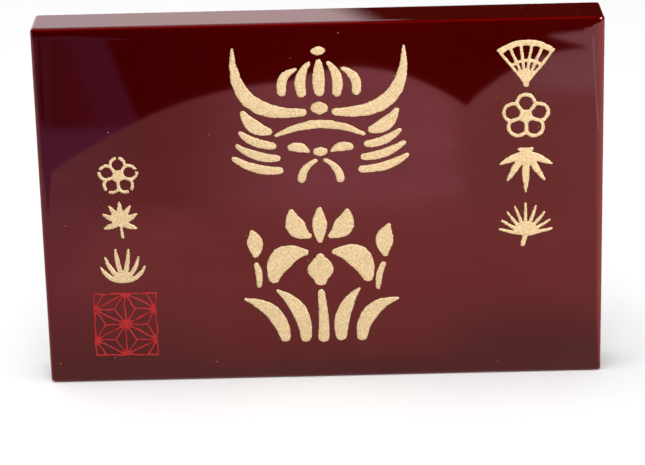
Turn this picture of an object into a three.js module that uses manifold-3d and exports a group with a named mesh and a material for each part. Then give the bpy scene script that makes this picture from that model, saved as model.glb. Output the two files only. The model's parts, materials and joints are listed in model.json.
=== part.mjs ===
// A lacquered title board: a thick, glossy dark red slab that stands on its long edge beside a
// display piece. Its face carries raised gilt motifs and a small red seal: a horned helmet over
// an iris in the middle, four small motifs down the right side, three down the left, and the
// seal below those.
//
// Frame: millimetres, +Z up, the face looks along -Y, and the origin is the middle of the base.

import * as THREE from 'three';
import { RoundedBoxGeometry } from 'three/addons/geometries/RoundedBoxGeometry.js';
import { mergeVertices } from 'three/addons/utils/BufferGeometryUtils.js';
import Module from 'manifold-3d';

const wasm = await Module();
wasm.setup();

// ---------------------------------------------------------------- driving dimensions

const BOARD = { width: 150, depth: 15, height: 100, edgeRadius: 1, edgeSteps: 3 };

// Gilt and seal are laid on in relief, a hair's gap in front of the face.
const RELIEF = { gap: 0.05, thickness: 0.25 };

// Where each motif's own middle sits on the face: x from the board's middle, z from its base.
const PLACES = {
  helmet: { x: 0, z: 75 },
  iris: { x: -0.7, z: 30 },
  rightColumn: { x: 54.4, top: 88.1, pitch: 14.9 },
  leftColumn: { x: -53.9, top: 59.2, pitch: 12.6 },
  seal: { x: -53.8, z: 16.8 },
};

const FAN = { radius: 12, halfAngle: 40, ribs: 6, rib: 0.8, rim: 1.5, band: 0.8, bandRadius: 6.4 };
const PLUM = { petalRadius: 2.9, petalReach: 3.6, line: 1, eye: 1.2, notch: 0 };
const CHERRY = { petalRadius: 2.4, petalReach: 3.1, line: 0.85, eye: 0.9, notch: 1.1 };
const SEAL = { width: 17.3, height: 18.4, line: 0.6, corner: 0.5 };

const STROKE_STEPS = 8; // along a brush stroke
const CAP_STEPS = 4; // round each of its ends
const ARC_STEPS = 12; // round a petal

// ---------------------------------------------------------------- finishes

const finish = (color, roughness, metalness) =>
  new THREE.MeshStandardMaterial({ color, roughness, metalness });

const LACQUER = finish(0x5a1418, 0.08, 0);
const GILT = finish(0xedcd9f, 0.5, 0.8);
const VERMILION = finish(0xc82d2e, 0.45, 0);

// ---------------------------------------------------------------- flat shapes

const ORIGIN = new THREE.Vector2(0, 0);

// The point that lies radius away from centre, at degrees above +X.
const polar = (degrees, radius, centre = ORIGIN) =>
  new THREE.Vector2(radius, 0)
    .rotateAround(ORIGIN, THREE.MathUtils.degToRad(degrees))
    .add(centre);

const leftOf = (direction) => new THREE.Vector2(-direction.y, direction.x);

// The outline of a brush stroke from (x0, z0) to (x1, z1). Its middle line bows to the left of
// its direction by bow, and it is start, belly and end wide at its tip, half-way and at its end.
function strokeShape({ x0, z0, x1, z1, bow, start, belly, end }) {
  const from = new THREE.Vector2(x0, z0);
  const to = new THREE.Vector2(x1, z1);
  const left = leftOf(to.clone().sub(from).normalize());
  const pull = from.clone().lerp(to, 0.5).addScaledVector(left, 2 * bow);
  const middleLine = new THREE.QuadraticBezierCurve(from, pull, to);
  const swell = belly - (start + end) / 2;
  const leftSide = [];
  const rightSide = [];
  for (let i = 0; i <= STROKE_STEPS; i++) {
    const t = i / STROKE_STEPS;
    const width = start + (end - start) * t + swell * Math.sin(Math.PI * t);
    const side = leftOf(middleLine.getTangent(t));
    leftSide.push(middleLine.getPoint(t).addScaledVector(side, width / 2));
    rightSide.push(middleLine.getPoint(t).addScaledVector(side, -width / 2));
  }
  const endCap = roundCap(leftSide.at(-1), rightSide.at(-1));
  const startCap = roundCap(rightSide[0], leftSide[0]);
  return new THREE.Shape([...leftSide, ...endCap, ...rightSide.reverse(), ...startCap]);
}

// The points of a half circle that runs clockwise from a to b, without a and b themselves.
function roundCap(a, b) {
  const middle = a.clone().lerp(b, 0.5);
  const points = [];
  for (let i = 1; i < CAP_STEPS; i++) {
    points.push(a.clone().rotateAround(middle, (-Math.PI * i) / CAP_STEPS));
  }
  return points;
}

// A straight bar from a to b with square ends, start wide at a and end wide at b.
function barShape(a, b, start, end = start) {
  const side = leftOf(b.clone().sub(a).normalize());
  return new THREE.Shape([
    a.clone().addScaledVector(side, -start / 2),
    b.clone().addScaledVector(side, -end / 2),
    b.clone().addScaledVector(side, end / 2),
    a.clone().addScaledVector(side, start / 2),
  ]);
}

// A band of the given width along a circle round centre, halfAngle degrees each side of +Y.
function bandShape(centre, radius, width, halfAngle) {
  const [from, to] = [90 - halfAngle, 90 + halfAngle].map(THREE.MathUtils.degToRad);
  const shape = new THREE.Shape();
  shape.absarc(centre.x, centre.y, radius + width / 2, from, to, false);
  shape.absarc(centre.x, centre.y, radius - width / 2, to, from, true);
  return shape;
}

function discShape(centre, radius) {
  const shape = new THREE.Shape();
  shape.absarc(centre.x, centre.y, radius, 0, 2 * Math.PI);
  return shape;
}

function roundedRectangle(width, height, corner) {
  const [x, y] = [width / 2 - corner, height / 2 - corner];
  const shape = new THREE.Shape();
  shape.absarc(x, y, corner, 0, Math.PI / 2);
  shape.absarc(-x, y, corner, Math.PI / 2, Math.PI);
  shape.absarc(-x, -y, corner, Math.PI, 1.5 * Math.PI);
  shape.absarc(x, -y, corner, 1.5 * Math.PI, 2 * Math.PI);
  return shape;
}

// ---------------------------------------------------------------- solids

const relief = (shape, curveSegments = ARC_STEPS) =>
  new THREE.ExtrudeGeometry(shape, { depth: RELIEF.thickness, bevelEnabled: false, curveSegments });

function toSolid(geometry) {
  const bare = geometry.clone();
  bare.deleteAttribute('normal');
  bare.deleteAttribute('uv');
  const merged = mergeVertices(bare);
  const vertProperties = merged.attributes.position.array;
  const triVerts = new Uint32Array(merged.index.array);
  return new wasm.Manifold(new wasm.Mesh({ numProp: 3, vertProperties, triVerts }));
}

function toGeometry(solid) {
  const mesh = solid.getMesh();
  const geometry = new THREE.BufferGeometry();
  geometry.setAttribute('position', new THREE.BufferAttribute(mesh.vertProperties, 3));
  geometry.setIndex(new THREE.BufferAttribute(mesh.triVerts, 1));
  geometry.computeVertexNormals();
  return geometry;
}

const join = (shapes) => shapes.map((shape) => toSolid(relief(shape))).reduce((all, next) => all.add(next));

function part(name, geometry, material) {
  const mesh = new THREE.Mesh(geometry, material);
  mesh.name = name;
  return mesh;
}

const fused = (name, shapes) => part(name, toGeometry(join(shapes)), GILT);

// A group whose XY plane lies on the board's face, with +Z out of it, at (x, z) on the face.
function onFace({ x, z }, ...children) {
  const group = new THREE.Group();
  group.position.set(x, -BOARD.depth / 2 - RELIEF.gap, z);
  group.rotation.x = Math.PI / 2;
  group.add(...children);
  return group;
}

// ---------------------------------------------------------------- tables of strokes

const STROKE_COLUMNS = ['name', 'x0', 'z0', 'x1', 'z1', 'bow', 'start', 'belly', 'end'];

// Rows of a table as objects whose keys are the column names.
const strokes = (rows) =>
  rows.map((row) => Object.fromEntries(STROKE_COLUMNS.map((column, i) => [column, row[i]])));

// A stroke and its twin across the motif's middle line.
const bothSides = (row) => [
  { ...row, name: row.name + '_left', x0: -row.x0, x1: -row.x1, bow: -row.bow },
  { ...row, name: row.name + '_right' },
];

const strokeParts = (motif, rows) =>
  rows.map((row) => part(motif + '_' + row.name, relief(strokeShape(row)), GILT));

// ---------------------------------------------------------------- board

function board() {
  const { width, depth, height, edgeRadius, edgeSteps } = BOARD;
  const slab = part('board', new RoundedBoxGeometry(width, depth, height, edgeSteps, edgeRadius), LACQUER);
  slab.position.z = height / 2;
  return slab;
}

// ---------------------------------------------------------------- helmet

function helmet() {
  const middle = strokes([
    //  name           x0     z0     x1    z1    bow  start belly end
    ['knob',          -1.0,  17.4,   1.0,  17.4,  0,   1.8,  2.4,  1.8],
    ['rib_middle',     0,     6.4,   0,    14.4,  0,   2.8,  3.2,  1.6],
    ['crest_disc',    -0.9,   1.8,   0.9,   1.8,  0,   2.8,  3.6,  2.8],
    ['visor',        -11.6,  -5.6,  11.6,  -5.6,  3.0,  1.0,  2.4,  1.0],
    ['cord_knot',     -0.8, -10.2,   0.8, -10.2,  0,   2.2,  2.6,  2.2],
  ]);
  const sides = strokes([
    ['rib_inner',      4.7,   6.1,   2.6,  14.0, -1.1,  2.6,  2.7,  1.1],
    ['rib_outer',      9.8,   6.3,   6.3,  12.5, -1.4,  2.4,  2.4,  1.0],
    ['horn',           4.2,   0.7,  22.4,  18.3, -7.4,  2.0,  3.9,  0.7],
    ['ear_flap',      13.6,  -4.4,  20.2,   0.8, -1.2,  2.2,  3.6,  1.5],
    ['lame_upper',    12.4,  -8.4,  21.0,  -4.8, -0.8,  1.9,  2.4,  1.3],
    ['lame_middle',   11.6, -11.9,  22.0,  -8.3, -0.9,  1.9,  2.4,  1.3],
    ['lame_lower',    10.8, -15.4,  22.9, -11.8, -1.0,  1.9,  2.4,  1.3],
    ['cord_loop',      3.1, -10.0,   7.9,  -9.0,  0.5,  1.0,  2.6,  1.9],
    ['cord_tail',      1.2, -12.7,   5.2, -17.9,  0.9,  1.0,  1.8,  2.3],
  ]);
  return onFace(PLACES.helmet, ...strokeParts('helmet', [...middle, ...sides.flatMap(bothSides)]));
}

// ---------------------------------------------------------------- iris

function iris() {
  const rows = strokes([
    //  name               x0     z0     x1     z1    bow  start belly end
    ['front_petal',        0,     5.0,   0,    -1.4,   0,   2.2,  7.0,  3.8],
    ['fall_petal_left',   -4.0,   6.4, -12.6,  -0.8,  -2.7,  1.8,  6.4,  3.2],
    ['fall_petal_right',   4.0,   6.4,  12.6,  -0.8,   2.7,  1.8,  6.4,  3.2],
    ['top_petal_left',    -3.0,  11.0,  -7.4,  17.8,   1.3,  1.6,  5.4,  1.8],
    ['top_petal_middle',   0,     9.8,   0,    18.6,   0,   1.6,  4.0,  1.4],
    ['top_petal_right',    3.0,  11.0,   7.4,  17.8,  -1.3,  1.6,  5.4,  1.8],
    ['stem',               0,    -5.2,   0.4, -18.2,   0.3,  1.8,  2.6,  3.0],
    ['inner_leaf_left',   -4.4, -18.0, -11.8,  -4.4,  -2.2,  3.0,  4.0,  0.8],
    ['inner_leaf_right',   5.2, -18.0,  10.2,  -4.4,   1.6,  3.0,  4.0,  0.8],
    ['outer_leaf_left',  -10.0, -18.0, -20.4,  -6.8,  -2.6,  3.0,  4.0,  0.8],
    ['outer_leaf_right',  10.8, -18.0,  20.6,  -7.4,   2.8,  3.0,  4.0,  0.8],
    ['bud_stem',          15.4,  -4.0,  16.9,   2.6,   0.4,  1.4,  1.8,  1.4],
    ['bud',               17.4,   5.6,  18.4,  13.6,   0.6,  1.8,  4.8,  1.4],
    ['side_bud_stem',    -16.6,  -2.8, -17.2,   3.2,  -0.3,  1.4,  1.8,  1.4],
    ['side_bud',         -17.4,   6.0, -18.2,  12.4,  -0.4,  1.8,  4.2,  1.4],
  ]);
  return onFace(PLACES.iris, ...strokeParts('iris', rows));
}

// ---------------------------------------------------------------- small motifs

const evenAngles = (first, last, count) =>
  Array.from({ length: count }, (_, i) => first + ((last - first) * i) / (count - 1));

// Brush strokes that leave one point at the given angles, each reach(angle) long.
const spray = (angles, { x = 0, z, reach, bow = 0, start, belly, end }) =>
  angles.map((angle) => {
    const tip = polar(angle, reach(angle), new THREE.Vector2(x, z));
    const lean = (angle - 90) / 90;
    return strokeShape({ x0: x, z0: z, x1: tip.x, z1: tip.y, bow: bow * lean, start, belly, end });
  });

const twig = (x0, z0, x1, z1, width) =>
  strokeShape({ x0, z0, x1, z1, bow: 0, start: width, belly: width, end: width });

// An open folding fan: ribs from its pivot, with a rim and an inner band round it.
function fan() {
  const pivot = new THREE.Vector2(0, -FAN.radius / 2);
  const outer = FAN.radius - FAN.rim / 2;
  const edge = FAN.halfAngle - THREE.MathUtils.radToDeg(FAN.rib / 2 / outer);
  const ribs = evenAngles(90 - edge, 90 + edge, FAN.ribs).map((angle) =>
    barShape(polar(angle, FAN.rib / 4, pivot), polar(angle, outer, pivot), FAN.rib),
  );
  return fused('fan', [
    ...ribs,
    discShape(pivot, FAN.rib),
    bandShape(pivot, outer, FAN.rim, FAN.halfAngle),
    bandShape(pivot, FAN.bandRadius, FAN.band, FAN.halfAngle),
  ]);
}

// A five-petalled blossom drawn in outline: round petals, a line between each two and a solid
// eye. A notch in each petal's tip makes it a cherry blossom.
function blossom(name, { petalRadius, petalReach, line, eye, notch }) {
  const tip = petalReach + petalRadius;
  const angles = evenAngles(90, 378, 5);
  const petals = (radius) => join(angles.map((angle) => discShape(polar(angle, petalReach), radius)));
  const dividers = angles.map((angle) => barShape(ORIGIN, polar(angle + 36, petalReach), line));
  const kept = join([discShape(ORIGIN, eye), ...dividers]);
  const outline = petals(petalRadius).subtract(petals(petalRadius - line)).add(kept);
  const notches = angles.map((angle) =>
    barShape(polar(angle, tip - notch), polar(angle, tip + notch), line / 4, 2 * line),
  );
  const drawn = notch > 0 ? outline.subtract(join(notches)) : outline;
  return part(name, toGeometry(drawn), GILT);
}

const bamboo = () =>
  fused('bamboo_leaves', [
    ...spray([206, 238, 270, 302, 334], {
      z: 5,
      reach: (angle) => 11 - 0.055 * Math.abs(angle - 270),
      start: 0.8,
      belly: 1.9,
      end: 0.6,
    }),
    twig(-1.6, 5.8, 1.6, 5.8, 1),
  ]);

const pine = () =>
  fused('pine_sprig', [
    ...spray(evenAngles(14, 166, 9), {
      z: -3.4,
      reach: (angle) => 9 - 0.024 * Math.abs(angle - 90),
      start: 0.9,
      belly: 0.95,
      end: 0.6,
    }),
    twig(0, -3.4, -0.8, -6.1, 1.3),
  ]);

const maple = () =>
  fused('maple_leaf', [
    ...spray([-20, 28, 60, 90, 120, 152, 200], {
      z: -0.6,
      reach: (angle) => 5.8 - 0.012 * Math.abs(angle - 90),
      start: 0.9,
      belly: 1.6,
      end: 0.6,
    }),
    twig(0, -0.6, 0.5, -4.8, 0.8),
  ]);

const reeds = () =>
  fused('reed_tuft', spray(evenAngles(34, 146, 6), {
    z: -4.6,
    reach: (angle) => 9.6 - 0.045 * Math.abs(angle - 90),
    bow: 1.8,
    start: 1,
    belly: 1.3,
    end: 0.6,
  }));

// Motifs one below the other.
const column = ({ x, top, pitch }, motifs) =>
  motifs.map((motif, i) => onFace({ x, z: top - i * pitch }, motif));

// ---------------------------------------------------------------- seal

// A square border filled with one hemp-leaf star, which the border cuts off. The star is a net
// of equal triangles, each joined from its middle to its corners, and reaches from side to side.
function seal() {
  const { width, height, line, corner } = SEAL;
  const border = roundedRectangle(width, height, corner);
  border.holes.push(roundedRectangle(width - 2 * line, height - 2 * line, corner / 2));
  const [halfWidth, halfHeight] = [(width - line) / 2, (height - line) / 2];
  const knot = (i, j) => new THREE.Vector2(i * halfWidth, (j * halfHeight) / 2);
  const bars = [];
  for (const side of [-1, 1]) {
    for (const [a, b, c] of [
      [knot(0, 0), knot(0, 2), knot(side, 1)],
      [knot(0, 0), knot(side, 1), knot(side, -1)],
      [knot(0, 0), knot(side, -1), knot(0, -2)],
      [knot(0, 2), knot(side, 1), knot(side, 3)],
      [knot(0, -2), knot(side, -1), knot(side, -3)],
    ]) {
      const middle = a.clone().add(b).add(c).divideScalar(3);
      bars.push(barShape(a, b, line), barShape(b, c, line), barShape(c, a, line));
      bars.push(...[a, b, c].map((point) => barShape(middle, point, line)));
    }
  }
  const window = toSolid(relief(roundedRectangle(width - line, height - line, corner)));
  const star = join(bars).intersect(window);
  return onFace(PLACES.seal, part('seal', toGeometry(toSolid(relief(border)).add(star)), VERMILION));
}

// ---------------------------------------------------------------- assembly

const titleBoard = new THREE.Group();
titleBoard.add(
  board(),
  helmet(),
  iris(),
  ...column(PLACES.rightColumn, [fan(), blossom('plum_blossom', PLUM), bamboo(), pine()]),
  ...column(PLACES.leftColumn, [blossom('cherry_blossom', CHERRY), maple(), reeds()]),
  seal(),
);

export default titleBoard;
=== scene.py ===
"""Dresses a lacquered title board: glossy dark red lacquer, raised gold powder and a red seal.

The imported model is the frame. The board is modelled again with its soft, rolled-off edges, and
every gilt or red mark is modelled from its own CAD solid as a granular bead of powder or enamel.
All lengths are in metres, and all angles in degrees.
"""
import json
import logging
import math
from dataclasses import dataclass, field
from enum import Enum
from typing import Any, Iterable

import bmesh
import bpy
from mathutils import Matrix, Vector, noise


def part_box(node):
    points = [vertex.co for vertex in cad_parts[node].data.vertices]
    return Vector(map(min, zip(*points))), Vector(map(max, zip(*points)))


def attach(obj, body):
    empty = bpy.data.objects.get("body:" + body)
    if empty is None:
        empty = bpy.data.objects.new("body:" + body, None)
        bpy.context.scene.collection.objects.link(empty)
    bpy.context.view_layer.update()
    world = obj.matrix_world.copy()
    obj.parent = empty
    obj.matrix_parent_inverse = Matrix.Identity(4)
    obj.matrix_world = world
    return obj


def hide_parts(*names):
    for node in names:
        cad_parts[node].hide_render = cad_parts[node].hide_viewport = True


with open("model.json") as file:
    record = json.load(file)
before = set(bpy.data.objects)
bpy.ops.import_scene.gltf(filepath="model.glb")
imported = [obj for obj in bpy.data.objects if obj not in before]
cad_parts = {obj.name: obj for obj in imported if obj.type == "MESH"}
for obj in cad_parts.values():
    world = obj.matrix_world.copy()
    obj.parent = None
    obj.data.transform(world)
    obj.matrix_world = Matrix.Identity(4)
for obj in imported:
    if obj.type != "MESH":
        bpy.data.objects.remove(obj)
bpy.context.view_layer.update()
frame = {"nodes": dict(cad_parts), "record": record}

BODY = "root"
MM = 0.001
SWAY_SEED = 4
WELD = 0.0005 * MM
CUT_TOLERANCE = 0.0001 * MM

LOG = logging.getLogger("title_board")

Colour = tuple[float, float, float]
Point = tuple[float, float, float]
Angles = tuple[float, float, float]
Size = tuple[float, float]
Span = tuple[float, float]

BLACK: Colour = (0.0, 0.0, 0.0)
WHITE: Colour = (1.0, 1.0, 1.0)


class Slot(Enum):
    """The record's material slots."""

    LACQUER = "lacquer"
    GILT = "gilt"
    VERMILION = "vermilion"


class Seen(Enum):
    """Which rays meet a piece of the studio."""

    BY_ALL = "all"
    IN_GLOSS_ONLY = "gloss"


# ---------------------------------------------------------------- shader wiring


class Wiring:
    """Adds shader nodes to one node tree and joins them."""

    COLOUR_MIX_INPUTS = (0, 6, 7)
    COLOUR_MIX_RESULT = 2

    def __init__(self, tree: bpy.types.NodeTree) -> None:
        """Keeps the tree that the nodes go into."""
        self.tree = tree

    def feed(self, socket: bpy.types.NodeSocket, value: Any) -> None:
        """Links a socket to another, or sets its value.

        Args:
            socket: the input to feed.
            value: an output socket, or a plain value.
        """
        if isinstance(value, bpy.types.NodeSocket):
            self.tree.links.new(value, socket)
        else:
            socket.default_value = value

    def add(self, kind: str, feeds: dict[str | int, Any] | None = None,
            **settings: Any) -> bpy.types.Node:
        """Adds one node.

        Args:
            kind: the node's type name.
            feeds: what goes into each input, by its name or number.
            settings: the node's own properties.

        Returns:
            The new node.
        """
        node = self.tree.nodes.new(kind)
        for name, value in settings.items():
            setattr(node, name, value)
        for name, value in (feeds or {}).items():
            self.feed(node.inputs[name], value)
        return node

    def math(self, operation: str, *values: Any) -> bpy.types.NodeSocket:
        """Adds a Math node.

        Args:
            operation: the node's operation.
            values: sockets or numbers, in the order of its inputs.

        Returns:
            Its result.
        """
        node = self.add("ShaderNodeMath", operation=operation)
        for socket, value in zip(node.inputs, values):
            self.feed(socket, value)
        return node.outputs["Value"]

    def mix(self, mask: Any, first: Any, second: Any) -> bpy.types.NodeSocket:
        """Mixes two colours.

        Args:
            mask: 0 for the first colour, 1 for the second.
            first: a colour or a colour socket.
            second: a colour or a colour socket.

        Returns:
            The mixed colour.
        """
        node = self.add("ShaderNodeMix", data_type="RGBA")
        for index, value in zip(self.COLOUR_MIX_INPUTS, (mask, first, second)):
            self.feed(node.inputs[index], (*value, 1.0) if isinstance(value, tuple) else value)
        return node.outputs[self.COLOUR_MIX_RESULT]

    def ramp(self, value: Any, low: float, high: float, to_low: float = 0.0,
             to_high: float = 1.0) -> bpy.types.NodeSocket:
        """Maps a value smoothly from one range to another.

        Args:
            value: the value to map.
            low: where the ramp starts.
            high: where the ramp ends.
            to_low: the result at and before its start.
            to_high: the result at and past its end.

        Returns:
            The mapped value.
        """
        feeds = {"Value": value, "From Min": low, "From Max": high,
                 "To Min": to_low, "To Max": to_high}
        node = self.add("ShaderNodeMapRange", feeds, interpolation_type="SMOOTHSTEP")
        return node.outputs["Result"]

    def group(self, effect: bpy.types.NodeTree, **feeds: Any) -> bpy.types.Node:
        """Places a shader node group.

        Args:
            effect: the group.
            feeds: what goes into each of its named inputs.

        Returns:
            The node that holds it.
        """
        node = self.add("ShaderNodeGroup", node_tree=effect)
        for name, value in feeds.items():
            self.feed(node.inputs[name], value)
        return node

    def place(self) -> bpy.types.NodeSocket:
        """The point on the piece, in the row frame."""
        return self.add("ShaderNodeTexCoord").outputs["Object"]

    def axes(self, vector: Any) -> bpy.types.bpy_prop_collection:
        """The X, Y and Z of a vector, each as a socket."""
        return self.add("ShaderNodeSeparateXYZ", {"Vector": vector}).outputs


def new_group(name: str, inputs: dict[str, str],
              outputs: dict[str, str]) -> tuple[Wiring, Any, Any]:
    """Starts a shader node group.

    Args:
        name: the group's name.
        inputs: socket type for each named input.
        outputs: socket type for each named output.

    Returns:
        The group's wiring, its inputs as sockets to read, and its outputs as sockets to feed.
    """
    tree = bpy.data.node_groups.new(name, "ShaderNodeTree")
    for way, sockets in (("INPUT", inputs), ("OUTPUT", outputs)):
        for socket, kind in sockets.items():
            tree.interface.new_socket(socket, in_out=way, socket_type=kind)
    wiring = Wiring(tree)
    return wiring, wiring.add("NodeGroupInput").outputs, wiring.add("NodeGroupOutput").inputs


def grain_group(crown_reach: float = 0.7) -> bpy.types.NodeTree:
    """Packed grains of one size: a tone for each grain, and the height of its crown.

    Args:
        crown_reach: how far from a grain's middle its crown ends, as a share of the size.

    Returns:
        The group, with inputs Place and Size and outputs Tone and Height.
    """
    wiring, given, result = new_group(
        "Grain",
        {"Place": "NodeSocketVector", "Size": "NodeSocketFloat"},
        {"Tone": "NodeSocketFloat", "Height": "NodeSocketFloat"},
    )
    scale = wiring.math("DIVIDE", 1.0, given["Size"])
    cells = wiring.add("ShaderNodeTexVoronoi", {"Vector": given["Place"], "Scale": scale})
    tone = wiring.add("ShaderNodeSeparateColor", {"Color": cells.outputs["Color"]})
    wiring.feed(result["Tone"], tone.outputs["Red"])
    wiring.feed(result["Height"],
                wiring.ramp(cells.outputs["Distance"], 0.0, crown_reach, 1.0, 0.0))
    return wiring.tree


def dust_group(slide_x: float = 0.7, slide_z: float = 1.3,
               least_speck: float = 0.5) -> bpy.types.NodeTree:
    """Sparse specks of dust, scattered over every face of a slab.

    Args:
        slide_x: how far the flat pattern slides along x for each metre of depth.
        slide_z: how far it slides along z for each metre of depth.
        least_speck: the smallest speck's size, as a share of the stated one.

    Returns:
        The group, with inputs Place, Spacing, Speck and Share and output Mask.
    """
    wiring, given, result = new_group(
        "Dust",
        {"Place": "NodeSocketVector", "Spacing": "NodeSocketFloat",
         "Speck": "NodeSocketFloat", "Share": "NodeSocketFloat"},
        {"Mask": "NodeSocketFloat"},
    )
    axes = wiring.axes(given["Place"])
    flat = wiring.add("ShaderNodeCombineXYZ", {
        "X": wiring.math("MULTIPLY_ADD", axes["Y"], slide_x, axes["X"]),
        "Y": wiring.math("MULTIPLY_ADD", axes["Y"], slide_z, axes["Z"]),
    })
    scale = wiring.math("DIVIDE", 1.0, given["Spacing"])
    cells = wiring.add("ShaderNodeTexVoronoi", {"Vector": flat.outputs["Vector"], "Scale": scale},
                       voronoi_dimensions="2D")
    tone = wiring.add("ShaderNodeSeparateColor", {"Color": cells.outputs["Color"]}).outputs
    reach = wiring.math("MULTIPLY", wiring.math("MULTIPLY", given["Speck"], scale),
                        wiring.math("ADD", tone["Green"], least_speck))
    inside = wiring.math("LESS_THAN", cells.outputs["Distance"], reach)
    chosen = wiring.math("LESS_THAN", tone["Red"], given["Share"])
    wiring.feed(result["Mask"], wiring.math("MULTIPLY", inside, chosen))
    return wiring.tree


def new_material(slot: Slot) -> tuple[bpy.types.Material, Wiring, bpy.types.Node]:
    """Starts a node material.

    Args:
        slot: the slot that it dresses, which names it.

    Returns:
        The material, its wiring and its Principled BSDF.
    """
    material = bpy.data.materials.new(slot.value)
    material.use_nodes = True
    return material, Wiring(material.node_tree), material.node_tree.nodes["Principled BSDF"]


# ---------------------------------------------------------------- finishes


@dataclass(frozen=True)
class Effects:
    """The shader node groups that the finishes share."""

    grain: bpy.types.NodeTree
    dust: bpy.types.NodeTree


@dataclass(frozen=True)
class LacquerFinish:
    """Translucent dark lacquer over a brighter red, polished to a mirror.

    It is mottled all over, and bright where it runs thin over the edges. Its upper left
    and its foot are darkened with painted shade. A few specks of dust lie on it.
    """

    deep: Colour = (0.062, 0.0002, 0.0002)
    mottled: Colour = (0.055, 0.0002, 0.0004)
    # painted shade: the darker red laid over the upper left of the front
    shaded: Colour = (0.038, 0.0002, 0.0002)
    # painted shade: the darker red laid along the foot
    foot: Colour = (0.032, 0.0002, 0.0002)
    thin: Colour = (0.165, 0.0014, 0.0010)
    tint: Colour = (1.0, 0.42, 0.44)
    dust_colour: Colour = (0.30, 0.22, 0.20)
    dust_spacing: float = 13 * MM
    dust_speck: float = 0.12 * MM
    dust_share: float = 0.35
    roughness: float = 0.035
    dusty_roughness: float = 0.6
    ior: float = 1.6
    shade_reach: float = 1.13
    shade_rise: Span = (0.25, 0.75)
    edge_reach: float = 0.9 * MM
    edge_full: float = 0.15
    foot_shade_reach: float = 10 * MM
    mottle_size: float = 22 * MM
    swell_size: float = 9 * MM
    swell_height: float = 0.0016 * MM

    def material(self, effects: Effects, low: Vector, high: Vector) -> bpy.types.Material:
        """Builds the lacquer.

        Args:
            effects: the shared node groups.
            low: the slab's lowest corner.
            high: the slab's highest corner.

        Returns:
            The material.
        """
        material, wiring, shader = new_material(Slot.LACQUER)
        place = wiring.place()
        mottle = wiring.add("ShaderNodeTexNoise", {"Vector": place, "Scale": 1 / self.mottle_size})
        body = wiring.mix(mottle.outputs["Fac"], self.deep, self.mottled)
        # painted shade: the upper left is darkened in the colour itself
        body = wiring.mix(self.painted_shade_mask(wiring, place, low, high), body, self.shaded)
        # painted shade: the red darkens towards the foot
        foot = wiring.ramp(wiring.axes(place)["Z"], low.z, low.z + self.foot_shade_reach, 1.0, 0.0)
        body = wiring.mix(foot, body, self.foot)
        body = wiring.mix(self.edge_mask(wiring, place, low, high), body, self.thin)
        dust = wiring.group(effects.dust, Place=place, Spacing=self.dust_spacing,
                            Speck=self.dust_speck, Share=self.dust_share).outputs["Mask"]
        swell = wiring.add("ShaderNodeTexNoise", {"Vector": place, "Scale": 1 / self.swell_size,
                                                  "Detail": 0.0})
        bump = wiring.add("ShaderNodeBump", {"Height": swell.outputs["Fac"], "Strength": 1.0,
                                             "Distance": self.swell_height})
        wiring.feed(shader.inputs["Base Color"], wiring.mix(dust, body, self.dust_colour))
        wiring.feed(shader.inputs["Roughness"],
                    wiring.math("MULTIPLY_ADD", dust, self.dusty_roughness, self.roughness))
        wiring.feed(shader.inputs["Normal"], bump.outputs["Normal"])
        wiring.feed(shader.inputs["IOR"], self.ior)
        wiring.feed(shader.inputs["Specular Tint"], (*self.tint, 1.0))
        return material

    def painted_shade_mask(self, wiring: Wiring, place: bpy.types.NodeSocket, low: Vector,
                   high: Vector) -> bpy.types.NodeSocket:
        """Marks the upper left, where painted shade darkens the lacquer.

        Args:
            wiring: the material's wiring.
            place: the point on the slab.
            low: the slab's lowest corner.
            high: the slab's highest corner.

        Returns:
            1 at the upper left corner, falling to 0.
        """
        axes = wiring.axes(place)
        start, end = self.shade_rise
        across = wiring.ramp(axes["X"], self.shade_reach * low.x, 0.0, 1.0, 0.0)
        up = wiring.ramp(axes["Z"], start * high.z, end * high.z)
        return wiring.math("MULTIPLY", across, up)

    def edge_mask(self, wiring: Wiring, place: bpy.types.NodeSocket, low: Vector,
                  high: Vector) -> bpy.types.NodeSocket:
        """Marks the edges and corners, where the lacquer runs thin.

        Args:
            wiring: the material's wiring.
            place: the point on the slab.
            low: the slab's lowest corner.
            high: the slab's highest corner.

        Returns:
            1 along the edges and 0 on the faces.
        """
        middle, half = (low + high) / 2, (high - low) / 2
        offset = wiring.add("ShaderNodeVectorMath", {0: place, 1: middle}, operation="SUBTRACT")
        size = wiring.add("ShaderNodeVectorMath", {0: offset.outputs[0]}, operation="ABSOLUTE")
        depth = wiring.add("ShaderNodeVectorMath", {0: half, 1: size.outputs[0]},
                           operation="SUBTRACT")
        x, y, z = wiring.axes(depth.outputs[0])
        second = wiring.math("MAXIMUM", wiring.math("MINIMUM", x, y),
                             wiring.math("MINIMUM", wiring.math("MAXIMUM", x, y), z))
        return wiring.ramp(second, self.edge_full * self.edge_reach, self.edge_reach, 1.0, 0.0)


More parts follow.
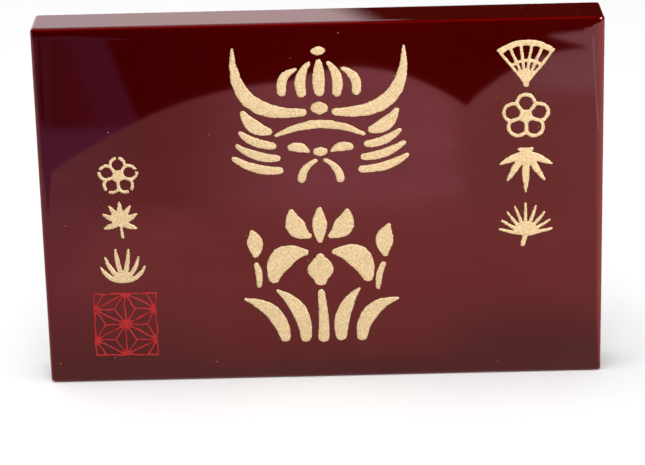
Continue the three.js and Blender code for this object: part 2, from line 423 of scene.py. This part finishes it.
@dataclass(frozen=True)
class GiltFinish:
    """Pale gold powder sprinkled thick on wet lacquer."""

    gold: Colour = (0.625, 0.465, 0.246)
    dark_grain: Colour = (0.455, 0.315, 0.152)
    bright_grain: Colour = (0.735, 0.585, 0.340)
    rim: Colour = (0.16, 0.07, 0.03)
    metallic: float = 0.25
    roughness: float = 0.62
    roughness_spread: float = 0.12
    grain_size: float = 0.20 * MM
    fleck_size: float = 0.7 * MM
    fleck_share: float = 0.08
    dark_tones: Span = (0.1, 0.5)
    bright_tones: Span = (0.5, 0.9)
    grain_height: float = 0.04 * MM
    bump_strength: float = 0.7
    rim_reach: float = 0.12 * MM

    def material(self, effects: Effects, face: float) -> bpy.types.Material:
        """Builds the gilt.

        Args:
            effects: the shared node groups.
            face: how far back the board's face lies, as y.

        Returns:
            The material.
        """
        material, wiring, shader = new_material(Slot.GILT)
        place = wiring.place()
        grain = wiring.group(effects.grain, Place=place, Size=self.grain_size).outputs
        fleck = wiring.group(effects.grain, Place=place, Size=self.fleck_size).outputs
        tone = wiring.math("ADD", wiring.math("MULTIPLY", grain["Tone"], 1.0 - self.fleck_share),
                           wiring.math("MULTIPLY", fleck["Tone"], self.fleck_share))
        colour = wiring.mix(wiring.ramp(tone, *self.dark_tones), self.dark_grain, self.gold)
        colour = wiring.mix(wiring.ramp(tone, *self.bright_tones), colour, self.bright_grain)
        rim = wiring.ramp(wiring.axes(place)["Y"], face - self.rim_reach, face)
        bump = wiring.add("ShaderNodeBump", {"Height": grain["Height"],
                                             "Strength": self.bump_strength,
                                             "Distance": self.grain_height})
        wiring.feed(shader.inputs["Base Color"], wiring.mix(rim, colour, self.rim))
        wiring.feed(shader.inputs["Metallic"], self.metallic)
        wiring.feed(shader.inputs["Roughness"],
                    wiring.math("MULTIPLY_ADD", grain["Tone"], self.roughness_spread,
                                self.roughness - self.roughness_spread / 2))
        wiring.feed(shader.inputs["Normal"], bump.outputs["Normal"])
        return material


@dataclass(frozen=True)
class VermilionFinish:
    """Thin red enamel lines, a little uneven, so that the lacquer darkens them in places."""

    red: Colour = (0.425, 0.010, 0.010)
    faded: Colour = (0.24, 0.008, 0.009)
    sheen: float = 0.15
    roughness: float = 0.5
    roughness_spread: float = 0.1
    fade_size: float = 1.6 * MM
    fade_tones: Span = (0.45, 0.72)
    grain_size: float = 0.25 * MM
    grain_height: float = 0.012 * MM
    bump_strength: float = 0.5

    def material(self, effects: Effects) -> bpy.types.Material:
        """Builds the enamel.

        Args:
            effects: the shared node groups.

        Returns:
            The material.
        """
        material, wiring, shader = new_material(Slot.VERMILION)
        place = wiring.place()
        fade = wiring.add("ShaderNodeTexNoise", {"Vector": place, "Scale": 1 / self.fade_size})
        mask = wiring.ramp(fade.outputs["Fac"], *self.fade_tones)
        grain = wiring.group(effects.grain, Place=place, Size=self.grain_size).outputs
        bump = wiring.add("ShaderNodeBump", {"Height": grain["Height"],
                                             "Strength": self.bump_strength,
                                             "Distance": self.grain_height})
        wiring.feed(shader.inputs["Base Color"], wiring.mix(mask, self.red, self.faded))
        wiring.feed(shader.inputs["Specular IOR Level"], self.sheen)
        wiring.feed(shader.inputs["Roughness"],
                    wiring.math("MULTIPLY_ADD", grain["Tone"], self.roughness_spread,
                                self.roughness))
        wiring.feed(shader.inputs["Normal"], bump.outputs["Normal"])
        return material


# ---------------------------------------------------------------- mesh helpers


def new_object(name: str, mesh: bmesh.types.BMesh, smooth: bool = True) -> bpy.types.Object:
    """Turns a bmesh into a linked object and frees it.

    Args:
        name: the object's name.
        mesh: its shape, in the row frame.
        smooth: whether its faces are shaded smooth.

    Returns:
        The object, at the origin.
    """
    for face in mesh.faces:
        face.smooth = smooth
    data = bpy.data.meshes.new(name)
    mesh.to_mesh(data)
    mesh.free()
    thing = bpy.data.objects.new(name, data)
    bpy.context.scene.collection.objects.link(thing)
    return thing


def with_modifiers_applied(thing: bpy.types.Object) -> bmesh.types.BMesh:
    """Takes an object's shape with its modifiers, and removes the object.

    Args:
        thing: an object with modifiers.

    Returns:
        The finished shape.
    """
    graph = bpy.context.evaluated_depsgraph_get()
    finished = bpy.data.meshes.new_from_object(thing.evaluated_get(graph), depsgraph=graph)
    mesh = bmesh.new()
    mesh.from_mesh(finished)
    bpy.data.objects.remove(thing)
    bpy.data.meshes.remove(finished)
    return mesh


# ---------------------------------------------------------------- the board


@dataclass
class LacquerBoard:
    """The slab, with edges that roll off softly before they turn."""

    node: str = "board"
    radius: float = 1.0 * MM
    arc_segments: int = 8
    rolled_reach: float = 3.4 * MM
    rolled_drop: float = 0.13 * MM
    rolled_steps: int = 6
    support: float = 0.2 * MM
    coarse_cuts: int = 12
    finish: LacquerFinish = field(default_factory=LacquerFinish)

    def __post_init__(self) -> None:
        """Reads the slab's corners from the frame."""
        self.low, self.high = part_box(self.node)

    @property
    def face(self) -> float:
        """The y of the face that carries the marks."""
        return self.low.y

    def cuts(self, low: float, high: float) -> list[float]:
        """Where the slab is cut across, so that its rims can bend.

        Args:
            low: one end of the slab.
            high: its other end.

        Returns:
            The places of the cuts: close together near both ends and coarse between.
        """
        step = (self.rolled_reach - self.radius) / self.rolled_steps
        fine = [self.radius + self.support]
        fine += [self.radius + step * (index + 1) for index in range(self.rolled_steps)]
        fine += [self.rolled_reach + self.support]
        coarse = [low + (high - low) * index / self.coarse_cuts
                  for index in range(1, self.coarse_cuts)]
        return [low + depth for depth in fine] + [high - depth for depth in fine] + coarse

    def slab(self) -> bmesh.types.BMesh:
        """Makes the box with round edges, cut across in a grid that is fine near its rims.

        Returns:
            The slab, with flat faces.
        """
        mesh = bmesh.new()
        bmesh.ops.create_cube(mesh, size=1.0)
        bmesh.ops.scale(mesh, vec=self.high - self.low, verts=mesh.verts)
        bmesh.ops.translate(mesh, vec=(self.low + self.high) / 2, verts=mesh.verts)
        bmesh.ops.bevel(mesh, geom=list(mesh.edges), offset=self.radius, offset_type="OFFSET",
                        segments=self.arc_segments, profile=0.5, affect="EDGES", material=-1)
        margin = self.radius + self.support
        places = {
            (1, 0, 0): self.cuts(self.low.x, self.high.x),
            (0, 1, 0): [self.low.y + margin, self.high.y - margin],
            (0, 0, 1): self.cuts(self.low.z, self.high.z),
        }
        for normal, cuts in places.items():
            for cut in cuts:
                bmesh.ops.bisect_plane(mesh, geom=[*mesh.verts, *mesh.edges, *mesh.faces],
                                       dist=CUT_TOLERANCE, plane_co=Vector(normal) * cut,
                                       plane_no=normal)
        return mesh

    def roll_off(self, point: Vector) -> float:
        """How far the front or back gives way to the middle at a point of the rim.

        Args:
            point: a point of the slab.

        Returns:
            The distance to move it along y.
        """
        middle = (self.low + self.high) / 2
        half = (self.high - self.low) / 2
        beyond_x = max(0.0, self.rolled_reach - (half.x - abs(point.x - middle.x)))
        beyond_z = max(0.0, self.rolled_reach - (half.z - abs(point.z - middle.z)))
        share = math.hypot(beyond_x, beyond_z) / (self.rolled_reach - self.radius)
        outward = (point.y - middle.y) / half.y
        return -self.rolled_drop * share ** 2 * outward * abs(outward)

    def build(self, effects: Effects) -> bpy.types.Object:
        """Models and dresses the slab in place of its CAD solid.

        Args:
            effects: the shared node groups.

        Returns:
            The finished piece.
        """
        mesh = self.slab()
        for vert in mesh.verts:
            vert.co.y += self.roll_off(vert.co)
        piece = new_object("lacquer_board", mesh)
        piece.data.materials.append(self.finish.material(effects, self.low, self.high))
        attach(piece, BODY)
        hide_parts(self.node)
        return piece


# ---------------------------------------------------------------- raised marks


@dataclass(frozen=True)
class Wobble:
    """A swaying of a mark's outline: how far it strays, and over what length."""

    stray: float
    length: float

    def shift(self, point: Vector) -> Vector:
        """The stray of the outline at a point, within the board's face."""
        sway = noise.noise_vector(point / self.length)
        return Vector((sway.x, 0.0, sway.z)) * self.stray


@dataclass(frozen=True)
class Bead:
    """How a mark's material stands on the lacquer.

    The voxel is the mesh's step, and softening is how often it is smoothed. The root is sunk
    into the board, and the crown lies back from the CAD solid's front. Slimming draws the
    sides in.
    """

    voxel: float
    softening: int
    crown: float
    grain: float
    grain_size: float
    wobbles: tuple[Wobble, ...]
    root: float = 0.3 * MM
    slimming: float = 0.0


@dataclass
class RaisedMark:
    """A bead of powder or enamel on the face, modelled from its CAD solid."""

    node: str
    face: float
    bead: Bead

    def flat_copy(self) -> bmesh.types.BMesh:
        """Copies the CAD solid, closed, with its back sunk into the lacquer.

        Returns:
            The copy.
        """
        mesh = bmesh.new()
        mesh.from_mesh(frame["nodes"][self.node].data)
        bmesh.ops.remove_doubles(mesh, verts=mesh.verts, dist=WELD)
        low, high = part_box(self.node)
        middle = (low.y + high.y) / 2
        back, front = self.face + self.bead.root, low.y + self.bead.crown
        for vert in mesh.verts:
            vert.co.y = back if vert.co.y > middle else front
        return mesh

    def beaded(self) -> bmesh.types.BMesh:
        """Meshes the copy evenly, rounds its edges and draws its sides in.

        Returns:
            The bead, still smooth.
        """
        rough = new_object(self.node + "_rough", self.flat_copy())
        remesh = rough.modifiers.new("even", "REMESH")
        remesh.mode = "VOXEL"
        remesh.voxel_size = self.bead.voxel
        mesh = with_modifiers_applied(rough)
        for _ in range(self.bead.softening):
            bmesh.ops.smooth_vert(mesh, verts=mesh.verts, factor=0.5, use_axis_x=True,
                                  use_axis_y=True, use_axis_z=True)
        mesh.normal_update()
        for vert in mesh.verts:
            vert.co -= Vector((vert.normal.x, 0.0, vert.normal.z)) * self.bead.slimming
        return mesh

    def roughened(self) -> bmesh.types.BMesh:
        """Sways the bead's outline and raises its grains.

        Returns:
            The finished shape, whose front stays behind the CAD solid's.
        """
        mesh = self.beaded()
        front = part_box(self.node)[0].y
        for vert in mesh.verts:
            point = vert.co.copy()
            for wobble in self.bead.wobbles:
                vert.co += wobble.shift(point)
            if point.y < self.face:
                rise = self.bead.grain * noise.noise(point / self.bead.grain_size)
                vert.co.y = max(front, vert.co.y - rise)
        return mesh

    def build(self, material: bpy.types.Material, slot: Slot) -> bpy.types.Object:
        """Models the mark in place of its CAD solid.

        Args:
            material: its finish.
            slot: the record's slot for that finish.

        Returns:
            The finished piece.
        """
        piece = new_object(f"{slot.value}_{self.node}", self.roughened())
        piece.data.materials.append(material)
        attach(piece, BODY)
        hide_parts(self.node)
        return piece


@dataclass
class GiltMotifs:
    """Every gilt mark on the face: a low, soft-edged bead with coarse grains and a ragged rim."""

    face: float
    bead: Bead = Bead(
        voxel=0.15 * MM, softening=2, crown=0.05 * MM, grain=0.04 * MM, grain_size=0.25 * MM,
        wobbles=(Wobble(stray=0.16 * MM, length=3.0 * MM),
                 Wobble(stray=0.16 * MM, length=0.42 * MM)),
    )
    finish: GiltFinish = field(default_factory=GiltFinish)

    def build(self, effects: Effects) -> list[bpy.types.Object]:
        """Models every gilt mark.

        Args:
            effects: the shared node groups.

        Returns:
            The finished pieces.
        """
        material = self.finish.material(effects, self.face)
        slots = {row["node"]: row["material_slot"] for row in frame["record"]["subparts"]}
        nodes = [node for node in sorted(frame["nodes"]) if slots[node] == Slot.GILT.value]
        return [RaisedMark(node, self.face, self.bead).build(material, Slot.GILT)
                for node in nodes]


@dataclass
class Seal:
    """The red seal: a border and a hemp-leaf star, drawn by hand in thin enamel lines."""

    face: float
    node: str = "seal"
    bead: Bead = Bead(
        voxel=0.11 * MM, softening=3, crown=0.12 * MM, grain=0.015 * MM, grain_size=0.4 * MM,
        wobbles=(Wobble(stray=0.35 * MM, length=3.4 * MM),
                 Wobble(stray=0.12 * MM, length=0.7 * MM)),
        slimming=0.08 * MM,
    )
    finish: VermilionFinish = field(default_factory=VermilionFinish)

    def build(self, effects: Effects) -> bpy.types.Object:
        """Models the seal.

        Args:
            effects: the shared node groups.

        Returns:
            The finished piece.
        """
        mark = RaisedMark(self.node, self.face, self.bead)
        return mark.build(self.finish.material(effects), Slot.VERMILION)


# ---------------------------------------------------------------- studio


def plain_material(name: str, colour: Colour, glow: float = 0.0) -> bpy.types.Material:
    """A matt studio surface, or a glowing one.

    Args:
        name: its name.
        colour: its colour.
        glow: how strongly it glows, or 0 to be lit only by the lights.

    Returns:
        The material.
    """
    material = bpy.data.materials.new(name)
    material.use_nodes = True
    shader = material.node_tree.nodes["Principled BSDF"]
    shader.inputs["Base Color"].default_value = (*(BLACK if glow else colour), 1.0)
    shader.inputs["Roughness"].default_value = 1.0
    shader.inputs["Specular IOR Level"].default_value = 0.0
    shader.inputs["Emission Color"].default_value = (*colour, 1.0)
    shader.inputs["Emission Strength"].default_value = glow
    return material


def emitter(name: str) -> tuple[bpy.types.Material, Wiring, bpy.types.Node, Any]:
    """Starts a glowing material that varies over the studio.

    Args:
        name: its name.

    Returns:
        The material, its wiring, its Principled BSDF and the place's X, Y and Z sockets.
    """
    material = plain_material(name, WHITE, glow=1.0)
    wiring = Wiring(material.node_tree)
    axes = wiring.axes(wiring.place())
    return material, wiring, material.node_tree.nodes["Principled BSDF"], axes


@dataclass(frozen=True)
class ClothGlow:
    """The sheen of a pale cloth: brightest ahead of the board and right beside it, dim close by.

    Each span tells where one colour gives way to the next, along x or y as its name ends.
    """

    ahead: Colour = (2.00, 1.60, 1.75)
    left: Colour = (1.10, 0.77, 0.72)
    right: Colour = (1.50, 1.21, 1.12)
    right_fold: Colour = (1.88, 1.84, 2.06)
    middle: Colour = (1.62, 1.14, 1.07)
    far_left: Colour = (1.10, 0.95, 1.20)
    close_left: Colour = (0.60, 0.92, 0.88)
    close: Colour = (1.00, 0.92, 0.84)
    close_right: Colour = (0.46, 0.90, 0.86)
    foot: Colour = (0.92, 0.90, 0.86)
    beside: Colour = (3.10, 2.15, 1.75)
    ahead_x: Span = (-0.058, 0.0)
    right_x: Span = (0.040, 0.052)
    right_fold_x: Span = (0.068, 0.086)
    right_fold_y: Span = (-0.280, -0.250)
    right_fold_rest: float = 0.14
    middle_y: Span = (-0.165, -0.115)
    far_left_x: Span = (-0.100, -0.050)
    close_x: Span = (-0.060, -0.015)
    close_right_x: Span = (0.026, 0.048)
    close_y: Span = (-0.088, -0.008)
    foot_y: Span = (-0.024, -0.010)
    beside_slope: Span = (0.17, 0.33)
    beside_y: Span = (-0.05, -0.01)
    beside_rest: float = 0.35
    board_end: float = 0.075
    least_depth: float = 0.005
    fold_size: float = 0.05
    fold_detail: float = 2.0
    fold_distortion: float = 0.8
    fold_tones: Span = (0.3, 0.7)
    fold_depth: float = 0.07

    def material(self) -> bpy.types.Material:
        """Builds the glow, which varies over the table top.

        Returns:
            The material.
        """
        material, wiring, shader, (x, y, _) = emitter("cloth_glow")
        colour = self.far_colour(wiring, x, y)
        close = wiring.mix(wiring.ramp(x, *self.close_x), self.close_left, self.close)
        close = wiring.mix(wiring.ramp(x, *self.close_right_x), close, self.close_right)
        colour = wiring.mix(wiring.ramp(y, *self.close_y), colour, close)
        colour = wiring.mix(wiring.ramp(y, *self.foot_y), colour, self.foot)
        colour = wiring.mix(self.beside_mask(wiring, x, y), colour, self.beside)
        folds = wiring.add("ShaderNodeTexNoise", {"Vector": wiring.place(),
                                                  "Scale": 1 / self.fold_size,
                                                  "Detail": self.fold_detail,
                                                  "Distortion": self.fold_distortion})
        strength = wiring.ramp(folds.outputs["Fac"], *self.fold_tones,
                               1.0 - self.fold_depth, 1.0 + self.fold_depth)
        wiring.feed(shader.inputs["Emission Color"], colour)
        wiring.feed(shader.inputs["Emission Strength"], strength)
        return material

    def far_colour(self, wiring: Wiring, x: bpy.types.NodeSocket,
                   y: bpy.types.NodeSocket) -> bpy.types.NodeSocket:
        """Colours the cloth well ahead of the board.

        Args:
            wiring: the material's wiring.
            x: the place along the board.
            y: the place across the table.

        Returns:
            The colour.
        """
        colour = wiring.mix(wiring.ramp(x, *self.ahead_x), self.left, self.ahead)
        colour = wiring.mix(wiring.ramp(x, *self.right_x), colour, self.right)
        fold = wiring.math("MULTIPLY", wiring.ramp(x, *self.right_fold_x),
                           wiring.ramp(y, *self.right_fold_y, 1.0, self.right_fold_rest))
        colour = wiring.mix(fold, colour, self.right_fold)
        colour = wiring.mix(wiring.ramp(y, *self.middle_y), colour, self.middle)
        return wiring.mix(wiring.ramp(x, *self.far_left_x), self.far_left, colour)

    def beside_mask(self, wiring: Wiring, x: bpy.types.NodeSocket,
                    y: bpy.types.NodeSocket) -> bpy.types.NodeSocket:
        """Marks the cloth past the board's right end, in a wedge that opens forwards.

        Args:
            wiring: the material's wiring.
            x: the place along the board.
            y: the place across the table.

        Returns:
            1 in the wedge, less close by, and 0 in front of the board.
        """
        ahead = wiring.math("MAXIMUM", wiring.math("MULTIPLY", y, -1.0), self.least_depth)
        slope = wiring.math("DIVIDE", wiring.math("SUBTRACT", x, self.board_end), ahead)
        return wiring.math("MULTIPLY", wiring.ramp(slope, *self.beside_slope),
                           wiring.ramp(y, *self.beside_y, 1.0, self.beside_rest))


@dataclass(frozen=True)
class DuskGlow:
    """The dim, bluish left of the room, which ends at a slanting border with a point.

    Each span tells where one colour gives way to the next: along y, or across the slant.
    """

    rim: Colour = (0.25, 0.26, 0.45)
    dip: Colour = (0.08, 0.08, 0.11)
    band: Colour = (0.24, 0.18, 0.40)
    middle: Colour = (0.22, 0.11, 0.17)
    edge: Colour = (0.25, 0.19, 0.48)
    near: Colour = (0.43, 0.38, 0.94)
    slant: float = 0.181
    band_slant: float = 0.09
    dip_across: Span = (-0.103, -0.089)
    band_across: Span = (-0.081, -0.061)
    band_end: Span = (-0.0770, -0.0730)
    edge_across: Span = (-0.0415, -0.0315)
    near_y: Span = (-0.242, -0.226)
    border: Span = (-0.0235, -0.0195)
    point_border: Span = (-0.0120, -0.0080)
    point_y: Span = (-0.370, -0.350)
    fade_y: Span = (-0.70, -0.56)

    def material(self) -> bpy.types.Material:
        """Builds the glow, which varies over the table top.

        Returns:
            The material.
        """
        material, wiring, shader, (x, y, _) = emitter("dusk_glow")
        across = wiring.math("MULTIPLY_ADD", y, -self.slant, x)
        steeper = wiring.math("MULTIPLY_ADD", y, -self.band_slant, x)
        colour = wiring.mix(wiring.ramp(across, *self.dip_across), self.rim, self.dip)
        colour = wiring.mix(wiring.ramp(across, *self.band_across), colour, self.band)
        colour = wiring.mix(wiring.ramp(steeper, *self.band_end), colour, self.middle)
        colour = wiring.mix(wiring.ramp(across, *self.edge_across), colour, self.edge)
        colour = wiring.mix(wiring.ramp(y, *self.near_y), colour, self.near)
        point = wiring.math("MULTIPLY", wiring.ramp(across, *self.point_border, 1.0, 0.0),
                            wiring.ramp(y, *self.point_y, 1.0, 0.0))
        reach = wiring.math("MAXIMUM", wiring.ramp(across, *self.border, 1.0, 0.0), point)
        strength = wiring.math("MULTIPLY", reach, wiring.ramp(y, *self.fade_y))
        wiring.feed(shader.inputs["Emission Color"], colour)
        wiring.feed(shader.inputs["Emission Strength"], strength)
        return material


@dataclass(frozen=True)
class DimStand:
    """A dim thing behind the board, with a soft, slanting left border."""

    colour: Colour = (0.030, 0.010, 0.004)
    slant: float = 1.73
    slanted_border: Span = (-0.2457, -0.2287)
    upright_border: Span = (0.020, 0.034)

    def material(self) -> bpy.types.Material:
        """Builds the shade, which thins out to the left.

        Returns:
            The material.
        """
        material, wiring, shader, (x, _, z) = emitter("dim_stand")
        slanted = wiring.math("MULTIPLY_ADD", z, -self.slant, x)
        cover = wiring.math("MAXIMUM", wiring.ramp(slanted, *self.slanted_border),
                            wiring.ramp(x, *self.upright_border))
        wiring.feed(shader.inputs["Emission Color"], (*self.colour, 1.0))
        wiring.feed(shader.inputs["Alpha"], cover)
        return material


@dataclass
class Card:
    """A flat sheet of the studio: a rectangle, or a regular shape with the sides it is given.

    A rectangle's size is its full length and width, and a regular shape's is its two radii.
    The turn is about X, Y and Z, in that order.
    """

    name: str
    size: Size
    centre: Point
    material: bpy.types.Material
    turn: Angles = (0.0, 0.0, 0.0)
    sides: int = 0
    seen: Seen = Seen.IN_GLOSS_ONLY

    def build(self) -> bpy.types.Object:
        """Makes the sheet and says which rays meet it.

        Returns:
            The sheet.
        """
        mesh = bmesh.new()
        if self.sides:
            bmesh.ops.create_circle(mesh, cap_ends=True, radius=1.0, segments=self.sides)
        else:
            bmesh.ops.create_grid(mesh, x_segments=1, y_segments=1, size=0.5)
        bmesh.ops.scale(mesh, vec=(*self.size, 1.0), verts=mesh.verts)
        about_x, about_y, about_z = (math.radians(angle) for angle in self.turn)
        turn = Matrix.Rotation(about_z, 3, "Z")
        turn @= Matrix.Rotation(about_y, 3, "Y")
        turn @= Matrix.Rotation(about_x, 3, "X")
        bmesh.ops.rotate(mesh, cent=(0, 0, 0), matrix=turn, verts=mesh.verts)
        bmesh.ops.translate(mesh, vec=self.centre, verts=mesh.verts)
        card = new_object(self.name, mesh, smooth=False)
        card.data.materials.append(self.material)
        if self.seen is Seen.IN_GLOSS_ONLY:
            card.visible_camera = False
            card.visible_diffuse = False
            card.visible_shadow = False
            card.visible_transmission = False
            card.visible_volume_scatter = False
        return card


@dataclass
class Studio:
    """A pale table top under soft light, with cards that give the lacquer something to mirror."""

    floor: Colour = (0.90, 0.90, 0.905)
    sky: Colour = (0.98, 0.98, 0.985)
    night: Colour = (0.0015, 0.0012, 0.0012)
    dusk_far: Colour = (0.12, 0.22, 0.36)
    fold_line: Colour = (2.7, 3.3, 3.6)
    wall: Colour = (1.35, 1.14, 1.17)
    ceiling: Colour = (1.25, 1.00, 1.05)
    lamp: Colour = (110.0, 110.0, 110.0)
    key_power: float = 19.0
    fill_power: float = 7.0
    sky_light: float = 0.50
    aim: Point = (0.0, 0.0, 0.05)
    disc_sides: int = 160

    def build(self) -> None:
        """Lays the table top, hangs the cards and sets the lights."""
        Card("floor", size=(8.0, 8.0), centre=(0.0, 0.0, 0.0),
             material=plain_material("pale_floor", self.floor), seen=Seen.BY_ALL).build()
        self.cloth_cards()
        self.room_cards()
        self.lights()
        self.world()

    def cloth_cards(self) -> None:
        """The end of a pale cloth on the table, with the dim room past it."""
        glow = ClothGlow().material()
        Card("room_in_front", size=(9.0, 4.3), centre=(0.0, -2.35, 0.0004),
             material=plain_material("dim_room", self.night)).build()
        Card("dusk_far", size=(1.2, 0.45), centre=(-0.85, -0.375, 0.0006),
             material=plain_material("dusk_far", self.dusk_far, glow=1.0)).build()
        Card("dusk", size=(0.20, 0.56), centre=(-0.15, -0.38, 0.0007),
             material=DuskGlow().material()).build()
        Card("cloth_close", size=(1.085, 0.199), centre=(0.4575, -0.0995, 0.0010),
             material=glow).build()
        Card("fold_line", size=(0.008, 0.128), centre=(0.1232, -0.272, 0.0016),
             material=plain_material("fold_line", self.fold_line, glow=1.0),
             turn=(0.0, 0.0, -8.6)).build()
        Card("cloth_corner", size=(0.01455, 0.012), centre=(0.0988, -0.3352, 0.0015),
             material=glow, turn=(0.0, 0.0, 105.5), sides=3).build()
        for name, size, centre in (
            ("cloth_at_right", (0.4995, 0.600), (0.6003, -0.292, 0.0009)),
            ("cloth_far_left", (0.2206, 0.2885), (-0.30, 0.0, 0.0011)),
            ("cloth_lobe_left", (0.1348, 0.4837), (-0.0095, 0.1991, 0.0012)),
            ("cloth_lobe_middle", (0.0953, 0.5500), (0.0107, 0.2486, 0.0013)),
            ("cloth_lobe_right", (0.1060, 0.5580), (0.1033, 0.2381, 0.0014)),
        ):
            Card(name, size, centre, glow, sides=self.disc_sides).build()

    def room_cards(self) -> None:
        """The bright wall behind the board with a dim thing before it, the ceiling and a lamp."""
        Card("wall_behind", size=(3.0, 1.6), centre=(0.0, 0.62, 0.80),
             material=plain_material("bright_wall", self.wall, glow=1.0),
             turn=(90.0, 0.0, 0.0)).build()
        Card("stand_behind", size=(0.53, 0.40), centre=(0.260, 0.16, 0.29),
             material=DimStand().material(), turn=(90.0, 0.0, 0.0)).build()
        Card("ceiling_at_left", size=(2.0, 0.92), centre=(-0.97, 0.155, 1.60),
             material=plain_material("ceiling", self.ceiling, glow=1.0)).build()
        Card("lamp_at_right", size=(0.28, 0.46), centre=(0.56, -0.95, 0.67),
             material=plain_material("lamp", self.lamp, glow=1.0),
             turn=(62.0, 0.0, 28.0)).build()

    def lights(self) -> None:
        """A broad soft key overhead and a gentle fill from the front."""
        self.area("key", place=(-0.20, -0.25, 1.50), size=1.4, power=self.key_power)
        self.area("fill", place=(0.2, -1.5, 1.0), size=1.2, power=self.fill_power)

    def area(self, name: str, place: Point, size: float, power: float) -> bpy.types.Object:
        """Adds a square area light that faces the board, and that gloss doesn't mirror.

        Args:
            name: the light's name.
            place: where it hangs.
            size: the length of its side.
            power: its power in watts.

        Returns:
            The light.
        """
        data = bpy.data.lights.new(name, "AREA")
        data.shape = "SQUARE"
        data.size = size
        data.energy = power
        light = bpy.data.objects.new(name, data)
        light.location = place
        towards = Vector(self.aim) - Vector(place)
        light.rotation_euler = towards.to_track_quat("-Z", "Y").to_euler()
        light.visible_glossy = False
        bpy.context.scene.collection.objects.link(light)
        return light

    def world(self) -> None:
        """A pale sky for the eye and for soft light, which the gloss sees as a dark room."""
        world = bpy.data.worlds.new("studio")
        bpy.context.scene.world = world
        world.use_nodes = True
        wiring = Wiring(world.node_tree)
        sky = world.node_tree.nodes["Background"]
        rays = wiring.add("ShaderNodeLightPath").outputs
        lit = wiring.math("MULTIPLY", rays["Is Diffuse Ray"], self.sky_light)
        wiring.feed(sky.inputs["Color"], (*self.sky, 1.0))
        wiring.feed(sky.inputs["Strength"], wiring.math("ADD", lit, rays["Is Camera Ray"]))


@dataclass
class Camera:
    """The view: from the front and above, a little tilted."""

    place: Point = (0.0031, -0.6848, 0.2867)
    lens: float = 150.2
    sensor_width: float = 36.0
    clip: Span = (0.01, 20.0)
    pitch: float = 19.87
    roll: float = 1.42
    yaw: float = 0.26

    def build(self) -> bpy.types.Object:
        """Adds the camera and looks through it.

        Returns:
            The camera.
        """
        data = bpy.data.cameras.new("camera")
        data.lens = self.lens
        data.sensor_width = self.sensor_width
        data.clip_start, data.clip_end = self.clip
        camera = bpy.data.objects.new("camera", data)
        turn = Matrix.Rotation(math.radians(self.yaw), 4, "Z")
        turn @= Matrix.Rotation(math.radians(90.0 - self.pitch), 4, "X")
        turn @= Matrix.Rotation(math.radians(-self.roll), 4, "Z")
        camera.matrix_world = Matrix.Translation(self.place) @ turn
        bpy.context.scene.collection.objects.link(camera)
        bpy.context.scene.camera = camera
        return camera


# ---------------------------------------------------------------- assembly


def report(pieces: Iterable[bpy.types.Object]) -> None:
    """Logs each finished piece and its number of faces."""
    for piece in pieces:
        LOG.info("%s: %d faces", piece.name, len(piece.data.polygons))


def main() -> None:
    """Builds the camera, the board, its marks and the studio, in that order."""
    logging.basicConfig(level=logging.INFO, format="%(name)s %(message)s")
    bpy.context.scene.view_settings.view_transform = "Standard"
    noise.seed_set(SWAY_SEED)
    Camera().build()
    effects = Effects(grain=grain_group(), dust=dust_group())
    board = LacquerBoard()
    report([board.build(effects)])
    report(GiltMotifs(face=board.face).build(effects))
    report([Seal(face=board.face).build(effects)])
    Studio().build()


if __name__ == "__main__":
    main()
